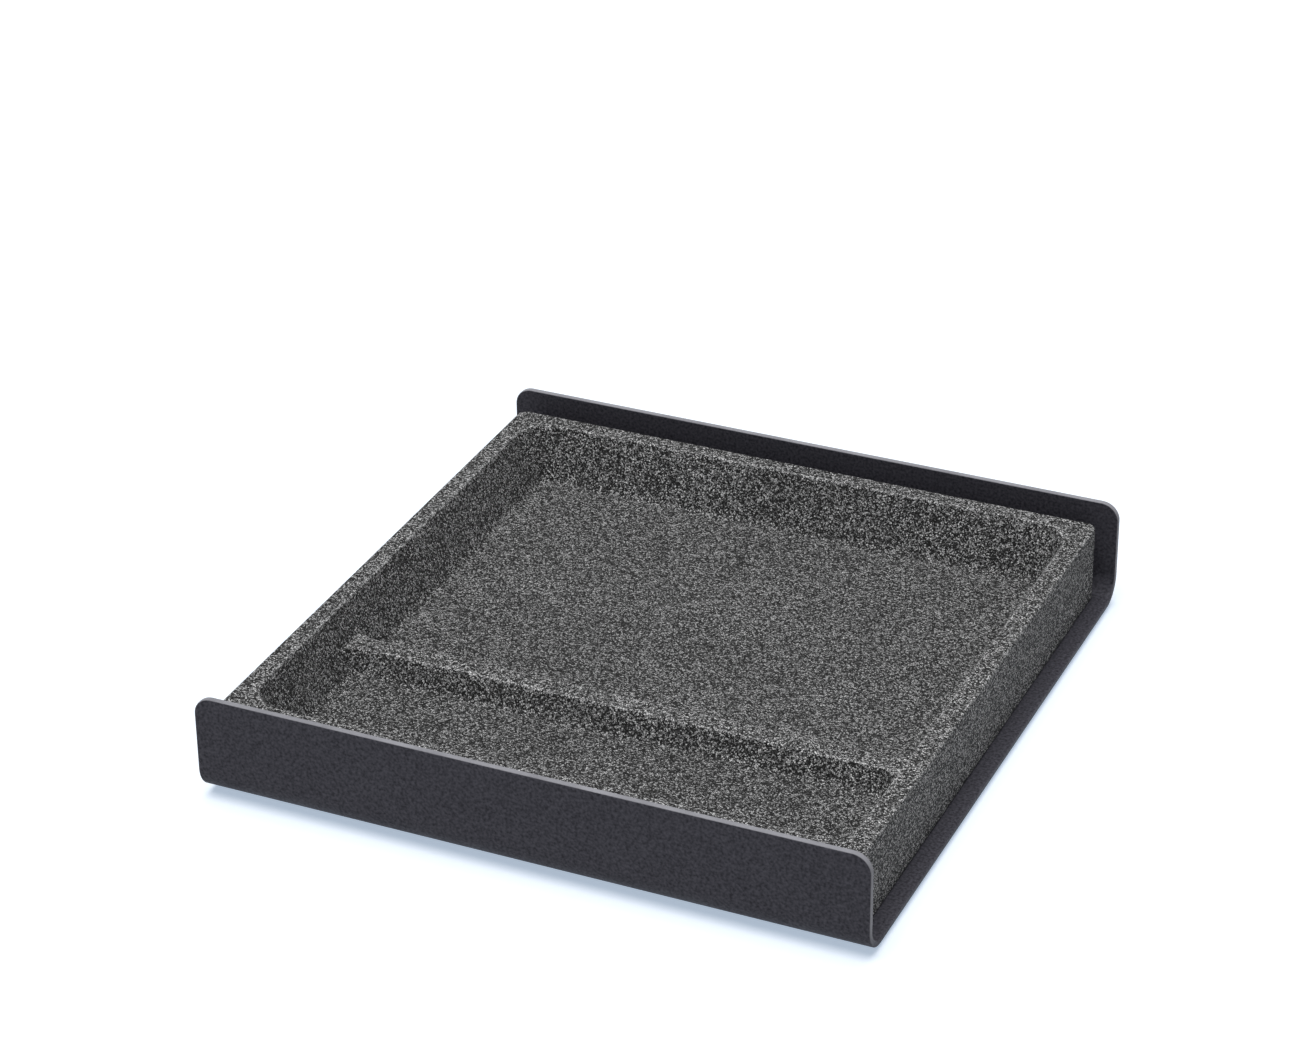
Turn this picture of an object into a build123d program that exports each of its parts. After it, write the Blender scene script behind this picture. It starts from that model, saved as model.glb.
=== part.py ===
from build123d import *
import os
from math import radians, tan

os.makedirs("parts", exist_ok=True)

# Desk tray: a steel channel, bent up at the front and the rear and open at both ends,
# carries a moulded cork block with a pen trough in front and a wide compartment behind.
# Millimetres. +Z is up, +Y points to the rear, and the origin lies on the desk under the middle.

# Channel, one bent plate
channel_width = 217.7
channel_depth = 223.6
flange_height = 34.5
plate = 2.0
bend_inside = 6.8
flange_corner = 6.0
plate_edge = 0.4

# Cork block, set back from the channel's open ends and flanges, a little to the left of the middle
end_margin = 4.75
flange_gap = 3.9
block_shift = -0.8
block_corner = 3.5
block_edge = 0.8

# Compartments, their sloping walls and the low ridge between them
rim_width = 6.3
compartment_depth = 17.1
floor_thickness = 8.7
floor_corner = 3.4
floor_fillet = 2.2
wall_draft = 27.0
trough_opening = 55.4
ridge_width = 6.7
ridge_drop = 9.7
ridge_edge = 1.0
ridge_flare = 0.4

# Adhesive strips under the cork block
strip_thickness = 0.8
strip_width = 25.0
strip_inset = 14.0

# Rubber feet
foot_diameter = 12.7
foot_height = 1.6
foot_draft = 15.0
foot_edge = 0.4
foot_inset = 8.0

# Heights above the desk
base_top = foot_height + plate
flange_top = foot_height + flange_height
block_bottom = base_top + strip_thickness
floor_level = block_bottom + floor_thickness
block_top = floor_level + compartment_depth
ridge_level = block_top - ridge_drop

# Channel: a U-shaped section drawn out along X, with rounded flange corners and broken edges
bend_outside = bend_inside + plate
outer_face = channel_depth / 2
inner_face = outer_face - plate
with BuildPart() as steel_channel:
    with BuildSketch(Plane.YZ):
        with BuildLine():
            outside = FilletPolyline(
                (-outer_face, flange_top),
                (-outer_face, foot_height),
                (outer_face, foot_height),
                (outer_face, flange_top),
                radius=bend_outside,
            )
            inside = FilletPolyline(
                (-inner_face, flange_top),
                (-inner_face, base_top),
                (inner_face, base_top),
                (inner_face, flange_top),
                radius=bend_inside,
            )
            Line(outside @ 0, inside @ 0)
            Line(outside @ 1, inside @ 1)
        make_face()
    extrude(amount=channel_width / 2, both=True)
    flange_ends = steel_channel.edges().filter_by(Axis.Y).group_by(Axis.Z)[-1]
    fillet(flange_ends, radius=flange_corner)
    bend_lines = steel_channel.edges().filter_by(Axis.X).group_by(SortBy.LENGTH)[-1]
    corner_lines = steel_channel.edges().filter_by(Axis.Y).group_by(SortBy.LENGTH)[0]
    plate_outline = steel_channel.edges() - bend_lines - corner_lines
    fillet(plate_outline, radius=plate_edge)
steel_channel.part.label = "steel_channel"
export_step(steel_channel.part, "parts/steel_channel.step")

# Plan of the cork block: each wall runs inwards by its height times the slope of its draft
seat = Plane((block_shift, 0, 0))
block_width = channel_width - 2 * end_margin
block_depth = 2 * (inner_face - flange_gap)
pocket_width = block_width - 2 * rim_width
pocket_depth = block_depth - 2 * rim_width
slope = tan(radians(wall_draft))
ridge_run = ridge_drop * slope
ridge_height = compartment_depth - ridge_drop
ridge_corner = floor_corner + ridge_height * slope
rim_corner = ridge_corner + ridge_run

# Opening of the block: one tapered hollow from the rim down to the floor
with BuildPart() as opening:
    with BuildSketch(seat.offset(block_top)):
        RectangleRounded(pocket_width, pocket_depth, rim_corner)
    extrude(amount=-compartment_depth, taper=wall_draft)
    fillet(opening.faces().sort_by(Axis.Z)[0].edges(), radius=floor_fillet)

# Compartments: a tapered well on each side of the ridge, under the space that they share.
# The wells run past the opening's walls, and their round corners flare the ridge into the sides.
well_width = pocket_width - 2 * ridge_run + 2 * ridge_flare
rear_well = pocket_depth - trough_opening - ridge_width
with BuildPart() as compartments:
    with BuildSketch(seat.offset(ridge_level)):
        Rectangle(block_width, block_depth)
    extrude(amount=ridge_drop)
    with BuildSketch(seat.offset(ridge_level)):
        with Locations((0, (trough_opening - pocket_depth) / 2)):
            RectangleRounded(well_width, trough_opening, ridge_corner)
        with Locations((0, (pocket_depth - rear_well) / 2)):
            RectangleRounded(well_width, rear_well, ridge_corner)
    extrude(amount=-ridge_height, taper=wall_draft)
    level_faces = compartments.faces().filter_by(Plane.XY).group_by(Axis.Z)
    well_floors = level_faces[0]
    ridge_outline = level_faces[1][0].inner_wires()
    fillet(well_floors.edges(), radius=floor_fillet)
    fillet(ridge_outline.edges(), radius=ridge_edge)
    add(opening.part, mode=Mode.INTERSECT)

# Cork block: its lower front and rear edges are rounded from where the channel starts to bend
block_foot = max(bend_inside - flange_gap, block_edge)
with BuildPart() as cork_block:
    with BuildSketch(Plane.YZ):
        with Locations((0, (block_bottom + block_top) / 2)):
            side = Rectangle(block_depth, block_top - block_bottom)
        fillet(side.vertices().group_by(Axis.Y)[0], radius=block_foot)
    extrude(amount=block_width, both=True)
    with BuildSketch(seat):
        RectangleRounded(block_width, block_depth, block_corner)
    extrude(amount=block_top, mode=Mode.INTERSECT)
    add(compartments.part, mode=Mode.SUBTRACT)
    rim = cork_block.faces().sort_by(Axis.Z)[-1]
    fillet(rim.edges(), radius=block_edge)
cork_block.part.label = "cork_block"
export_step(cork_block.part, "parts/cork_block.step")

# Adhesive strips: one along the front of the block and one along the rear, out of sight under it
strip_length = block_width - 2 * strip_inset
strip_middle = (block_depth - strip_width) / 2 - strip_inset
for name, place in {"front_strip": -strip_middle, "rear_strip": strip_middle}.items():
    with BuildPart() as strip:
        with BuildSketch(seat.offset(base_top)):
            with Locations((0, place)):
                Rectangle(strip_length, strip_width)
        extrude(amount=strip_thickness)
    strip.part.label = name
    export_step(strip.part, f"parts/{name}.step")

# Rubber feet: four low tapered discs on the flat of the base, clear of the bends
foot_x = channel_width / 2 - foot_inset - foot_diameter / 2
foot_y = outer_face - bend_outside - foot_inset - foot_diameter / 2
for end, y in {"front": -foot_y, "rear": foot_y}.items():
    for hand, x in {"left": -foot_x, "right": foot_x}.items():
        with BuildPart() as foot:
            with BuildSketch(Plane((x, y, foot_height))):
                Circle(foot_diameter / 2)
            extrude(amount=-foot_height, taper=foot_draft)
            chamfer(foot.faces().sort_by(Axis.Z)[0].edges(), length=foot_edge)
        foot.part.label = f"{end}_{hand}_foot"
        export_step(foot.part, f"parts/{end}_{hand}_foot.step")
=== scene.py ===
# %% [markdown]
# # A steel and cork pen tray
#
# The tray is a steel plate, bent up at the front and the rear, with a block of charcoal cork stuck into
# it. All its shapes come from a CAD model, which is loaded first and never changed. This lesson gives
# each piece the finish of the real one, puts the tray on a white table under soft light, and sets a
# camera where the photographer stood.
#
# The model is in metres, and so are the table and the camera's place. The small sizes of the tray and of
# its finishes are written in millimetres.

# %% Load the frame
import math

import bpy
import numpy as np
from mathutils import Matrix, Vector


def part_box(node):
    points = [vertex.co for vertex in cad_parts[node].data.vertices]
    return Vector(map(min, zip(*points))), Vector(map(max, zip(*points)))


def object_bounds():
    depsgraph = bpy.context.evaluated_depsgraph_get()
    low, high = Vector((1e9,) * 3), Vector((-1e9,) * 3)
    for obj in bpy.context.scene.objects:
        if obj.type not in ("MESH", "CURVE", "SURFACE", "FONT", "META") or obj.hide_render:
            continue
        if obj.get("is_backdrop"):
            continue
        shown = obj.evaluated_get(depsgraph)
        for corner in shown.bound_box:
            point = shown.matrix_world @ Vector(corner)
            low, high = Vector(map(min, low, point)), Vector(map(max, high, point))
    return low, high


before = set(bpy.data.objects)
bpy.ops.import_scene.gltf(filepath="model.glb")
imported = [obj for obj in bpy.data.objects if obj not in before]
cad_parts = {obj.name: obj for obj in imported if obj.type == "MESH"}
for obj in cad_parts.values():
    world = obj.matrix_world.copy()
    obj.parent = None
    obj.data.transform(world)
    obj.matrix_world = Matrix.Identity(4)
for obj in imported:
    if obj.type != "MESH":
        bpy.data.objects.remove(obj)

mm_per_metre = 1000.0
cad_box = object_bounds()
tray_mm = mm_per_metre * (cad_box[1] - cad_box[0])
print("nodes:", ", ".join(sorted(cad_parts)))
print("tray in mm:", [round(side, 1) for side in tray_mm])

# %% [markdown]
# ## Colours
#
# A colour that is picked from a screen is an sRGB value, but a renderer adds light in linear numbers.
# One function turns the first into the second, so every colour below can be written as a hex value.

# %% Colours


def linear(hex_colour):
    """An sRGB hex colour as linear RGBA: each channel goes through the curve of the sRGB standard."""
    channels = np.array([int(hex_colour[i : i + 2], 16) for i in (1, 3, 5)]) / 255
    curve = np.where(channels <= 0.04045, channels / 12.92, ((channels + 0.055) / 1.055) ** 2.4)
    return (*curve.tolist(), 1.0)


print("mid grey #808080 is", round(linear("#808080")[0], 3), "in linear light")

# %% [markdown]
# ## Nodes and materials
#
# A material is a tree of nodes. One function adds a node: it sets the node's options and fills its
# sockets, each with a value or with a link from another node. Another one starts a material, with its
# coordinates scaled to millimetres, so a pattern's scale is simply one over a size that can be measured
# on the real thing. A last one puts the finished material on the pieces that have it.

# %% Nodes and materials


def fill(tree, node, inputs):
    """Fills the sockets of a node. inputs maps a socket to its value or to the output that feeds it."""
    for socket, value in inputs.items():
        if isinstance(value, bpy.types.NodeSocket):
            tree.links.new(value, node.inputs[socket])
        else:
            node.inputs[socket].default_value = value


def add(tree, kind, inputs=None, stops=None, **settings):
    """Adds one node with its settings and inputs. stops maps the places on a colour ramp to hex colours."""
    node = tree.nodes.new("ShaderNode" + kind)
    for name, value in settings.items():
        setattr(node, name, value)
    fill(tree, node, inputs or {})
    if stops:
        ramp = node.color_ramp.elements
        while len(ramp) < len(stops):
            ramp.new(1.0)
        for stop, (place, shade) in zip(ramp, stops.items()):
            stop.position = place
            stop.color = linear(shade)
    return node


def start_material(name):
    """A new material with its tree and shader, and its Object coordinates in millimetres."""
    material = bpy.data.materials.new(name)
    material.use_nodes = True
    tree = material.node_tree
    metres = add(tree, "TexCoord").outputs["Object"]
    scaled = add(tree, "VectorMath", {0: metres, "Scale": mm_per_metre}, operation="SCALE")
    return material, tree, tree.nodes["Principled BSDF"], scaled.outputs["Vector"]


def dress(material, *nodes):
    """Puts a material into every slot of the CAD nodes that are named."""
    for node in nodes:
        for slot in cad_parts[node].material_slots:
            slot.material = material
    print(material.name, "on", ", ".join(nodes))


# %% [markdown]
# ## Cork granules
#
# The block is agglomerated cork: bark is milled to granules under a millimetre across, dyed charcoal,
# and pressed with a binder. The eye sees pale and dark granules side by side, with dark seams between
# them.
#
# A picture of cork could be wrapped round the block, but it would stretch on the walls and not meet
# itself at the corners. A Voronoi texture splits space into cells, one for each granule. It is a solid
# texture, so the granules run through walls, floor and edges as they do in a real block. Noise bends the
# cells, because bark doesn't break along straight lines, and a finer Voronoi breaks each granule into
# crumbs.

# %% Cork granules
granule = 0.52
crumb = 0.25
crumb_share = 0.5
crookedness = 0.3


def granulate(tree, mm):
    """Tone of granule and crumb, tone of the crumb alone, and distance from the granule's seam.

    Every place is first moved by noise times the crookedness. The tone mixes two random values from 0 to
    1: one for each granule, and one for each crumb. The distance is a share of a granule, because a
    Voronoi texture measures in its own cells.
    """
    noise = add(tree, "TexNoise", {"Vector": mm, "Scale": 1 / granule}).outputs["Color"]
    push = {0: noise, 1: (crookedness, crookedness, crookedness), 2: mm}
    bent = add(tree, "VectorMath", push, operation="MULTIPLY_ADD").outputs["Vector"]
    coarse = {"Vector": bent, "Scale": 1 / granule}
    fine = {"Vector": bent, "Scale": 1 / crumb}
    granules = add(tree, "TexVoronoi", coarse).outputs["Color"]
    crumbs = add(tree, "TexVoronoi", fine).outputs["Color"]
    from_seam = add(tree, "TexVoronoi", coarse, feature="DISTANCE_TO_EDGE").outputs["Distance"]
    granule_tone = add(tree, "SeparateColor", {"Color": granules}).outputs["Red"]
    crumb_tone = add(tree, "SeparateColor", {"Color": crumbs}).outputs["Red"]
    blend = {"Factor": crumb_share, "A": granule_tone, "B": crumb_tone}
    tone = add(tree, "Mix", blend).outputs["Result"]
    return tone, crumb_tone, from_seam


print("granules across the tray:", round(tray_mm.x / granule))

# %% [markdown]
# ## Worn and highlit cork edges
#
# Daily use rubs the edges of the rim and of the low ridge, and the granules there are paler, partly from the
# rubbing and partly from a painted highlight. A material can't see edges, and painting a mask by hand would
# need an image. But these edges are simple lines: two rounded rectangles at the height of the rim, and two
# straight lines at the height of the ridge. So the distance from them can be worked out from the coordinates
# alone.

# %% Worn and highlit cork edges
# Width of the paler edges: partly wear, partly a painted highlight.
wear_and_highlight_width = 1.0
rim_width = 6.3
block_corner = 3.5
opening_corner = 12.1
trough_opening = 55.4
ridge_width = 6.7
ridge_drop = 9.7

block_low, block_high = (mm_per_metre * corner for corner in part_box("cork_block"))
block_middle = (block_low + block_high) / 2
block_half = (block_high - block_low) / 2
opening_half = block_half - Vector((rim_width, rim_width, 0.0))
ridge_middle = Vector((0.0, block_low.y + rim_width + trough_opening + ridge_width / 2, 0.0))
ridge_half = Vector((0.0, ridge_width / 2, 0.0))
ridge_height = block_high.z - ridge_drop


def from_outline(tree, mm, plane, middle, half, corner):
    """Millimetres from a rounded rectangle in a plane, negative inside it.

    plane is 1 along the axes that count and 0 along the others. Take the place from the middle without
    its sign, subtract the half sides less the corner radius, drop what is negative, and take the length
    less the corner radius.
    """
    shifted = add(tree, "VectorMath", {0: mm, 1: middle}, operation="SUBTRACT").outputs["Vector"]
    level = add(tree, "VectorMath", {0: shifted, 1: plane}, operation="MULTIPLY").outputs["Vector"]
    mirrored = add(tree, "VectorMath", {0: level}, operation="ABSOLUTE").outputs["Vector"]
    inner = [axis * (reach - corner) for axis, reach in zip(plane, half)]
    past = add(tree, "VectorMath", {0: mirrored, 1: inner}, operation="SUBTRACT").outputs["Vector"]
    outward = add(tree, "VectorMath", {0: past, 1: (0.0, 0.0, 0.0)}, operation="MAXIMUM").outputs["Vector"]
    length = add(tree, "VectorMath", {0: outward}, operation="LENGTH").outputs["Value"]
    return add(tree, "Math", {0: length, 1: corner}, operation="SUBTRACT").outputs["Value"]


def edge_wear_and_highlight(tree, mm):
    """1 on the edges of the rim and the ridge, fading to 0 where the wear and the painted highlight end.

    The distance from an edge is the length of two distances: sideways from the edge's outline, and up or
    down from its height. The ridge is taken as a strip that runs on to both sides.
    """
    plan = (1.0, 1.0, 0.0)
    depth = (0.0, 1.0, 0.0)
    outer_rim = from_outline(tree, mm, plan, block_middle, block_half, block_corner)
    inner_rim = from_outline(tree, mm, plan, block_middle, opening_half, opening_corner)
    ridge = from_outline(tree, mm, depth, ridge_middle, ridge_half, ridge_width / 2)
    height = add(tree, "SeparateXYZ", {"Vector": mm}).outputs["Z"]
    nearest = wear_and_highlight_width
    for aside, level in ((outer_rim, block_high.z), (inner_rim, block_high.z), (ridge, ridge_height)):
        above = add(tree, "Math", {0: height, 1: level}, operation="SUBTRACT").outputs["Value"]
        offset = add(tree, "CombineXYZ", {"X": aside, "Y": above}).outputs["Vector"]
        distance = add(tree, "VectorMath", {0: offset}, operation="LENGTH").outputs["Value"]
        nearest = add(tree, "Math", {0: distance, 1: nearest}, operation="MINIMUM").outputs["Value"]
    fade = {"Value": nearest, "From Max": wear_and_highlight_width, "To Min": 1.0, "To Max": 0.0}
    return add(tree, "MapRange", fade).outputs["Result"]


print("rubbed edges at heights of", round(block_high.z, 1), "and", round(ridge_height, 1), "mm")

# %% [markdown]
# ## Painted floor shade
#
# The floors of the two compartments are darkened with painted shade, so they are a little darker than
# the rim. Such shade could also be worked out from how closed in each place is, but that ends in an
# image. A floor is where the surface faces up and lies low in the block, and a material can read
# both.

# %% Painted floor shade
floor_thickness = 8.7
floor_fillet = 2.2
floor_height = block_low.z + floor_thickness


def painted_floor_shade(tree, mm):
    """Where the painted floor shade falls: 1 on the floors, fading to 0 up their fillets: how far up the
    surface faces, times how low it lies.
    """
    facing = add(tree, "NewGeometry").outputs["Normal"]
    upward = add(tree, "SeparateXYZ", {"Vector": facing}).outputs["Z"]
    height = add(tree, "SeparateXYZ", {"Vector": mm}).outputs["Z"]
    above = add(tree, "Math", {0: height, 1: floor_height}, operation="SUBTRACT").outputs["Value"]
    low = add(tree, "MapRange", {"Value": above, "From Max": floor_fillet, "To Min": 1.0, "To Max": 0.0})
    both = {0: upward, 1: low.outputs["Result"]}
    return add(tree, "Math", both, operation="MULTIPLY", use_clamp=True).outputs["Value"]


print("floors at a height of", round(floor_height, 1), "mm")

# %% [markdown]
# ## Dyed granules
#
# Each granule takes the dye in its own way, and the dye is uneven over the breadth of a hand as well. A
# few fixed colours, dealt out at random, would look like confetti. So the granules' tones go through one
# ramp from near black to white, and the result is multiplied by three tones: of the seams, of slow
# patches of noise, and of the painted shade on the floors. The paler edges, partly worn and partly a
# painted highlight, shift the granules' tone towards the pale end of the ramp, so they stay granular.

# %% Dyed granules
cork_shades = {0.37: "#101010", 0.51: "#404040", 0.64: "#a4a4a4", 0.75: "#ffffff"}
wear_and_highlight_tone = 0.15
seam_tone = 0.1
# How dark the painted shade on the floors is.
painted_floor_tone = 0.74
patch = 35.0
dark_patch = 0.92
pale_patch = 1.08
# Nearly all values of a noise texture lie in this range.
noise_range = {"From Min": 0.3, "From Max": 0.7}


def dyed_granules(tree, mm, tone, swell):
    """The shade of each granule times three tones. swell is 0 in the granule's seam and 1 off it."""
    # The edges are paler: partly wear, partly a painted highlight.
    wear_and_highlight = {0: edge_wear_and_highlight(tree, mm), 1: wear_and_highlight_tone, 2: tone}
    lightened = add(tree, "Math", wear_and_highlight, operation="MULTIPLY_ADD").outputs["Value"]
    colour = add(tree, "ValToRGB", {"Fac": lightened}, stops=cork_shades).outputs["Color"]
    slow = add(tree, "TexNoise", {"Vector": mm, "Scale": 1 / patch}).outputs["Fac"]
    seams = {"Value": swell, "To Min": seam_tone}
    patches = {"Value": slow, "To Min": dark_patch, "To Max": pale_patch, **noise_range}
    # Painted shade darkens the floors.
    floors = {"Value": painted_floor_shade(tree, mm), "To Min": 1.0, "To Max": painted_floor_tone}
    for tones in (seams, patches, floors):
        multiplier = add(tree, "MapRange", tones).outputs["Result"]
        product = {"Factor": 1.0, "A": colour, "B": multiplier}
        colour = add(tree, "Mix", product, data_type="RGBA", blend_type="MULTIPLY").outputs["Result"]
    return colour


print("cork shades:", ", ".join(cork_shades.values()))

# %% [markdown]
# ## Pressed cork
#
# Pressed cork is matte and slightly crumbly. Each granule swells a little between its seams, and the
# palest granules are the smoothest. This relief could be modelled, but it would take millions of faces.
# It only tilts the light, so a bump is enough.

# %% Pressed cork
seam_reach = 0.3
crumb_rise = 0.5
granule_relief = 0.02
dark_roughness = 0.95
pale_roughness = 0.78
# A plain plastic has a gloss of 0.5.
cork_gloss = 0.3


def pressed_cork():
    """Pressed cork granulate, dyed charcoal: matte, with pale and dark granules and dark seams."""
    material, tree, shader, mm = start_material("pressed_charcoal_cork")
    tone, crumb_tone, from_seam = granulate(tree, mm)
    swell = add(tree, "MapRange", {"Value": from_seam, "From Max": seam_reach}).outputs["Result"]
    rise = {0: crumb_tone, 1: crumb_rise, 2: swell}
    height = add(tree, "Math", rise, operation="MULTIPLY_ADD").outputs["Value"]
    relief = {"Height": height, "Distance": granule_relief / mm_per_metre}
    matte = {"Value": tone, "To Min": dark_roughness, "To Max": pale_roughness}
    surface = {
        "Base Color": dyed_granules(tree, mm, tone, swell),
        "Roughness": add(tree, "MapRange", matte).outputs["Result"],
        "Normal": add(tree, "Bump", relief).outputs["Normal"],
        "Specular IOR Level": cork_gloss,
    }
    fill(tree, shader, surface)
    return material


dress(pressed_cork(), "cork_block")

# %% [markdown]
# ## Painted highlight on the plate edges
#
# The thin edges of the steel flanges catch the light from above, and a painted highlight makes them paler
# than the faces. Seen from the front, the plate's outline is a rectangle with rounded upper corners, so the
# same distance as for the cork's rim finds its edges. The ends of the flat base show no such highlight, so
# the height fades it out there.

# %% Painted plate edge highlight
edge_width = 0.25
edge_core = 0.1
flange_corner = 6.0
bend_start = 4.0
bend_end = 12.0
plate_low, plate_high = (mm_per_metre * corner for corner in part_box("steel_channel"))


def plate_edge_highlight(tree, mm):
    """1 on the edges of the flanges and 0 elsewhere: how near the outline is, times how high the place is.

    The painted highlight is full within edge_core of the outline and ends at edge_width. The outline
    reaches as far below the base as above it, so that only its upper corners are round.
    """
    front = (1.0, 0.0, 1.0)
    middle = (0.0, 0.0, plate_low.z)
    half = (plate_high.x, 0.0, plate_high.z - plate_low.z)
    outline = from_outline(tree, mm, front, middle, half, flange_corner)
    edge = add(tree, "MapRange", {"Value": outline, "From Min": -edge_width, "From Max": -edge_core})
    height = add(tree, "SeparateXYZ", {"Vector": mm}).outputs["Z"]
    flange = add(tree, "MapRange", {"Value": height, "From Min": bend_start, "From Max": bend_end})
    both = {0: edge.outputs["Result"], 1: flange.outputs["Result"]}
    return add(tree, "Math", both, operation="MULTIPLY").outputs["Value"]


print("plate edges: rubbed within", edge_width, "mm of the outline, from", bend_end, "mm up")

# %% [markdown]
# ## Powder-coated steel
#
# The plate was cut, bent and sprayed with black powder that melts in an oven to a satin skin. The skin is
# only about as thick as a hair, so it is a finish and no piece of its own. It isn't quite flat: it has a
# fine grain, and slow waves that make it smoother here and duller there. Two noises give the grain and
# the waves, and the waves also make the painted highlight on the edges uneven.

# %% Powder-coated steel
# The grain of a real powder coat is about 0.2 mm wide. It is drawn coarser here, or it wouldn't show.
coat_grain = 0.9
coat_wave = 14.0
# Each octave of a noise is twice as fine as the one before it.
octaves = 3.0
grain_relief = 0.02
# Weakest and strongest painted highlight on the plate edges, as the slow waves vary it.
least_edge_highlight = 0.5
most_edge_highlight = 0.8
smooth_coat = 0.48
dull_coat = 0.6
coat_gloss = 0.1
coat_shades = {0.3: "#302f35", 0.7: "#5b5a62"}
# The colour of the painted highlight on the plate edges.
edge_highlight_shade = "#b4b4ba"


def powder_coat():
    """Satin black powder coat on steel: fine grain, slow waves, and a painted highlight on the edges."""
    material, tree, shader, mm = start_material("black_powder_coat")
    fine = {"Vector": mm, "Scale": 1 / coat_grain, "Detail": octaves}
    slow = {"Vector": mm, "Scale": 1 / coat_wave, "Detail": octaves}
    grain = add(tree, "TexNoise", fine).outputs["Fac"]
    wave = add(tree, "TexNoise", slow).outputs["Fac"]
    uneven = {"Value": wave, "To Min": least_edge_highlight, "To Max": most_edge_highlight, **noise_range}
    # The painted edge highlight, made uneven by the slow waves.
    highlight_parts = {0: plate_edge_highlight(tree, mm), 1: add(tree, "MapRange", uneven).outputs["Result"]}
    lightened = add(tree, "Math", highlight_parts, operation="MULTIPLY").outputs["Value"]
    skin = add(tree, "ValToRGB", {"Fac": grain}, stops=coat_shades).outputs["Color"]
    highlighted = {"Factor": lightened, "A": skin, "B": linear(edge_highlight_shade)}
    satin = {"Value": wave, "To Min": smooth_coat, "To Max": dull_coat, **noise_range}
    relief = {"Height": grain, "Distance": grain_relief / mm_per_metre}
    surface = {
        "Base Color": add(tree, "Mix", highlighted, data_type="RGBA").outputs["Result"],
        "Roughness": add(tree, "MapRange", satin).outputs["Result"],
        "Normal": add(tree, "Bump", relief).outputs["Normal"],
        "Specular IOR Level": coat_gloss,
    }
    fill(tree, shader, surface)
    return material


dress(powder_coat(), "steel_channel")

# %% [markdown]
# ## Foam tape and rubber
#
# Two strips of double-sided foam tape hold the block down, and four moulded rubber feet keep the steel
# off the desk. The feet show only from low down and from below, and the strips hardly at all. Each could
# have a material built for it, but both are matte black polymers with a fine mottle. So one function
# makes them, with the size of a foam cell for the tape and of the mould's grain for the feet.

# %% Foam tape and rubber
# Both grains are drawn about twice as coarse as the real ones, or they wouldn't show.
foam_cell = 0.3
rubber_grain = 0.5


def soft_polymer(name, shades, size, relief, roughness):
    """A matte polymer: a mottle and a bump of one grain size. Size and relief are in millimetres."""
    material, tree, shader, mm = start_material(name)
    mottle = {"Vector": mm, "Scale": 1 / size, "Detail": octaves}
    grain = add(tree, "TexNoise", mottle).outputs["Fac"]
    surface = {
        "Base Color": add(tree, "ValToRGB", {"Fac": grain}, stops=shades).outputs["Color"],
        "Roughness": roughness,
        "Normal": add(tree, "Bump", {"Height": grain, "Distance": relief / mm_per_metre}).outputs["Normal"],
    }
    fill(tree, shader, surface)
    return material


foam_shades = {0.35: "#2a2a2a", 0.65: "#444444"}
foam = soft_polymer("acrylic_foam_tape", foam_shades, foam_cell, relief=0.05, roughness=0.9)
dress(foam, "front_strip", "rear_strip")

rubber_shades = {0.35: "#141414", 0.65: "#232323"}
rubber = soft_polymer("moulded_rubber", rubber_shades, rubber_grain, relief=0.03, roughness=0.7)
dress(rubber, "front_left_foot", "front_right_foot", "rear_left_foot", "rear_right_foot")

# %% [markdown]
# ## White table
#
# The tray stands on a white table that runs out of the picture on all sides, with no horizon, and only
# the soft shadow of the tray marks it. A bright floor could be had with more lamps, but they would bleach
# the tray too. So the table looks different to different rays: the camera and mirrors see white paper
# that glows by itself and still takes a shadow, while light that bounces off it meets plain pale paper.

# %% White table
table_side = 6.0
# The table lies a hair under the feet, so that no two faces share a plane.
table_top = -0.0001
paper_shade = "#c4c4c4"
shadow_shade = "#e4e4e4"
glow_shade = "#d8eaff"
glow_strength = 0.58

ends = np.array([-0.5, 0.5]) * table_side
x, y = np.meshgrid(ends, ends)
corners = np.stack([x, y, np.full_like(x, table_top)], axis=-1).reshape(-1, 3)
table_mesh = bpy.data.meshes.new("table")
table_mesh.from_pydata(corners.tolist(), [], [(0, 1, 3, 2)])
table = bpy.data.objects.new("table", table_mesh)
bpy.context.scene.collection.objects.link(table)
table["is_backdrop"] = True


def seen_directly(tree):
    """1 for rays from the camera, a mirror or a pane, and 0 for light that bounces."""
    path = add(tree, "LightPath").outputs
    either = {0: path["Is Camera Ray"], 1: path["Is Glossy Ray"]}
    seen = add(tree, "Math", either, operation="MAXIMUM").outputs["Value"]
    any_of = {0: seen, 1: path["Is Transmission Ray"]}
    return add(tree, "Math", any_of, operation="MAXIMUM").outputs["Value"]


white_table = bpy.data.materials.new("white_table")
white_table.use_nodes = True
tree = white_table.node_tree
tree.nodes.clear()
bounce = add(tree, "BsdfDiffuse", {"Color": linear(paper_shade)}).outputs["BSDF"]
paper = add(tree, "BsdfDiffuse", {"Color": linear(shadow_shade)}).outputs["BSDF"]
glow = add(tree, "Emission", {"Color": linear(glow_shade), "Strength": glow_strength}).outputs["Emission"]
white = add(tree, "AddShader", {0: paper, 1: glow}).outputs["Shader"]
surface = add(tree, "MixShader", {0: seen_directly(tree), 1: bounce, 2: white}).outputs["Shader"]
add(tree, "OutputMaterial", {"Surface": surface})
table_mesh.materials.append(white_table)
print("table:", table_side, "m square,", round(-mm_per_metre * table_top, 2), "mm under the feet")

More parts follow.
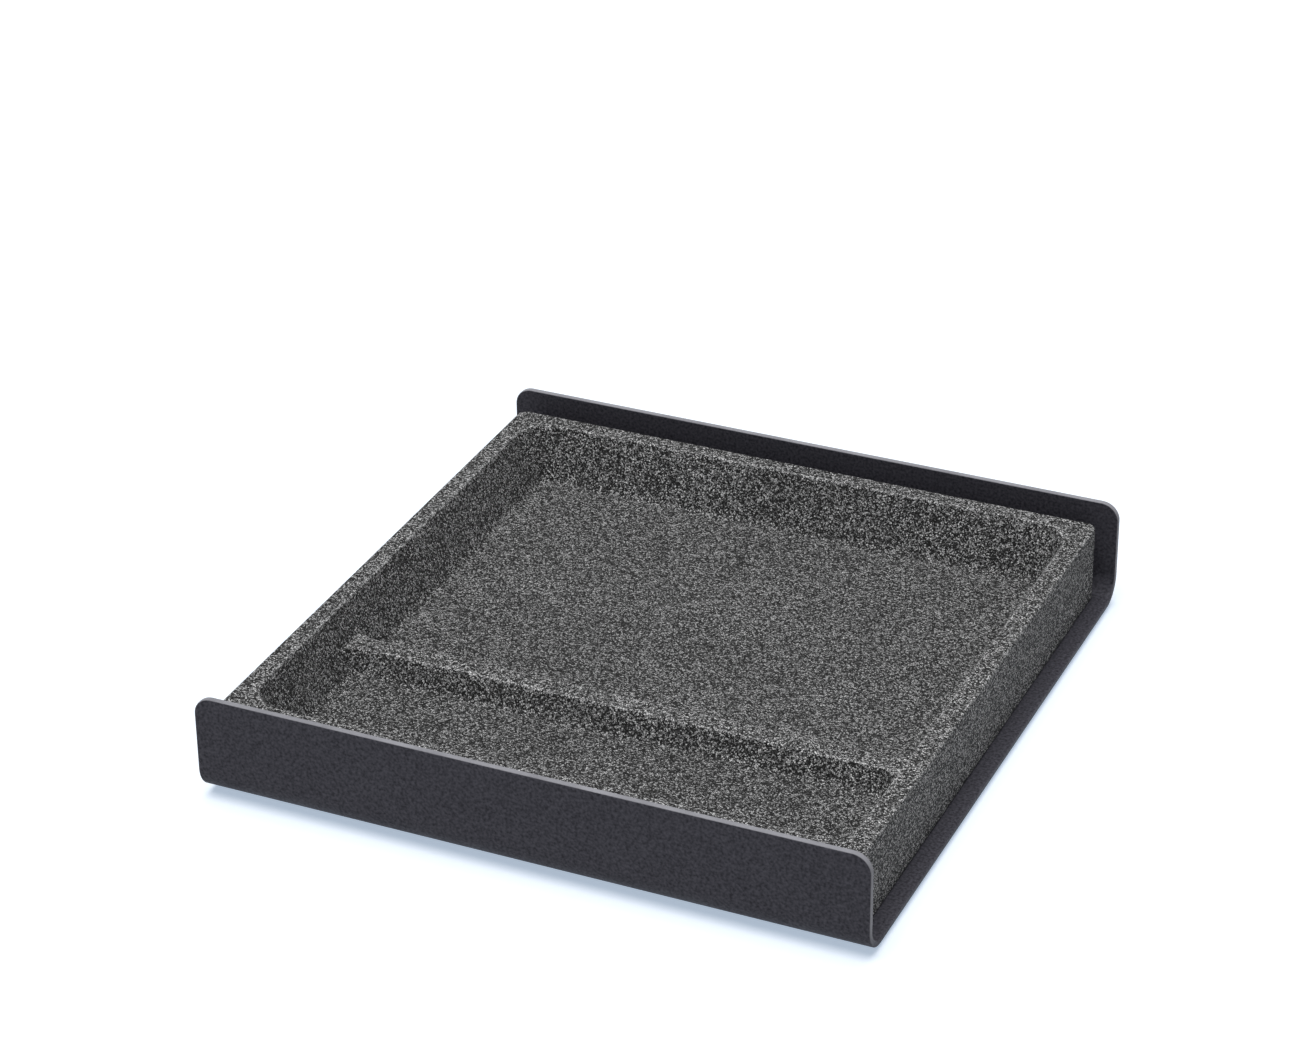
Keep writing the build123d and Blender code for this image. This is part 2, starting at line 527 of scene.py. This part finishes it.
# %% [markdown]
# ## Light
#
# The photo seems lit by a wide diffuser overhead, a little in front of the tray and to its left, in a pale
# room: the table is in soft shade only under the front bend, and the walls that face the camera are dim
# but not black. An area lamp could stand for the diffuser, but its light falls off with distance. A Sun
# lamp with a wide angle gives the same soft edge at the same strength everywhere, and the world gives the
# light of the room from all sides. As with the table, the camera and mirrors see a white backdrop instead.
#
# A lamp of strength S lights a level surface by S times its height in the sky over pi. With the room's
# light that comes to about 1, at which a colour renders about as it is written.

# %% Light
diffuser_strength = 2.75
diffuser_width = 55.0
diffuser_place = Vector((-0.05, -0.13, 1.0)).normalized()
room_shade = "#eef3ff"
room_strength = 0.1
backdrop_shade = "#ffffff"

sun = bpy.data.lights.new("overhead_diffuser", "SUN")
sun.energy = diffuser_strength
sun.angle = math.radians(diffuser_width)
lamp = bpy.data.objects.new("overhead_diffuser", sun)
lamp.rotation_euler = diffuser_place.to_track_quat("Z", "Y").to_euler()
bpy.context.scene.collection.objects.link(lamp)

world = bpy.data.worlds.new("pale_room")
world.use_nodes = True
tree = world.node_tree
tree.nodes.clear()
walls = {"Color": linear(room_shade), "Strength": room_strength}
room = add(tree, "Background", walls).outputs["Background"]
backdrop = add(tree, "Background", {"Color": linear(backdrop_shade)}).outputs["Background"]
surroundings = add(tree, "MixShader", {0: seen_directly(tree), 1: room, 2: backdrop}).outputs["Shader"]
add(tree, "OutputWorld", {"Surface": surroundings})
bpy.context.scene.world = world
level_light = room_strength + diffuser_strength * diffuser_place.z / math.pi
print("light on a level surface:", round(level_light, 2))

# %% [markdown]
# ## Camera
#
# The photo looks down on the tray from the front right through a long lens, so parallel edges stay almost
# parallel. A camera could be nudged until the picture looks right, but every straight edge of the tray
# says something about where it stood. The place, the three angles and the lens below were solved so that
# the tray's corners fall where the photo has them. The shift says how far the picture was cropped off
# the middle of the lens, as a share of its width.

# %% Camera
viewpoint = Vector((0.41945, -0.94486, 0.63501))
azimuth = math.radians(24.708)
elevation = math.radians(28.848)
roll = math.radians(-0.750)

camera = bpy.data.cameras.new("photo_view")
camera.sensor_width = 36.0
camera.lens = 106.72
camera.shift_x = 0.01132
camera.shift_y = -0.00470
viewer = bpy.data.objects.new("photo_view", camera)
viewer.matrix_world = (
    Matrix.Translation(viewpoint)
    @ Matrix.Rotation(azimuth, 4, "Z")
    @ Matrix.Rotation(math.pi / 2 - elevation, 4, "X")
    @ Matrix.Rotation(roll, 4, "Z")
)
bpy.context.scene.collection.objects.link(viewer)
bpy.context.scene.camera = viewer
bpy.context.scene.view_settings.view_transform = "Standard"
view_width = round(math.degrees(camera.angle), 1)
print("camera:", round(viewpoint.length, 2), "m from the tray,", view_width, "degrees wide")

# %% [markdown]
# ## Sizes
#
# Materials move no surface, so the dressed tray has to fill the same box as the CAD model. The box is
# measured again, and its growth over the CAD box is printed.

# %% Sizes and finish
visual_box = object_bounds()
growth = max(abs(a - b) for cad, dressed in zip(cad_box, visual_box) for a, b in zip(cad, dressed))
print("growth over the CAD box:", round(mm_per_metre * growth, 3), "mm")
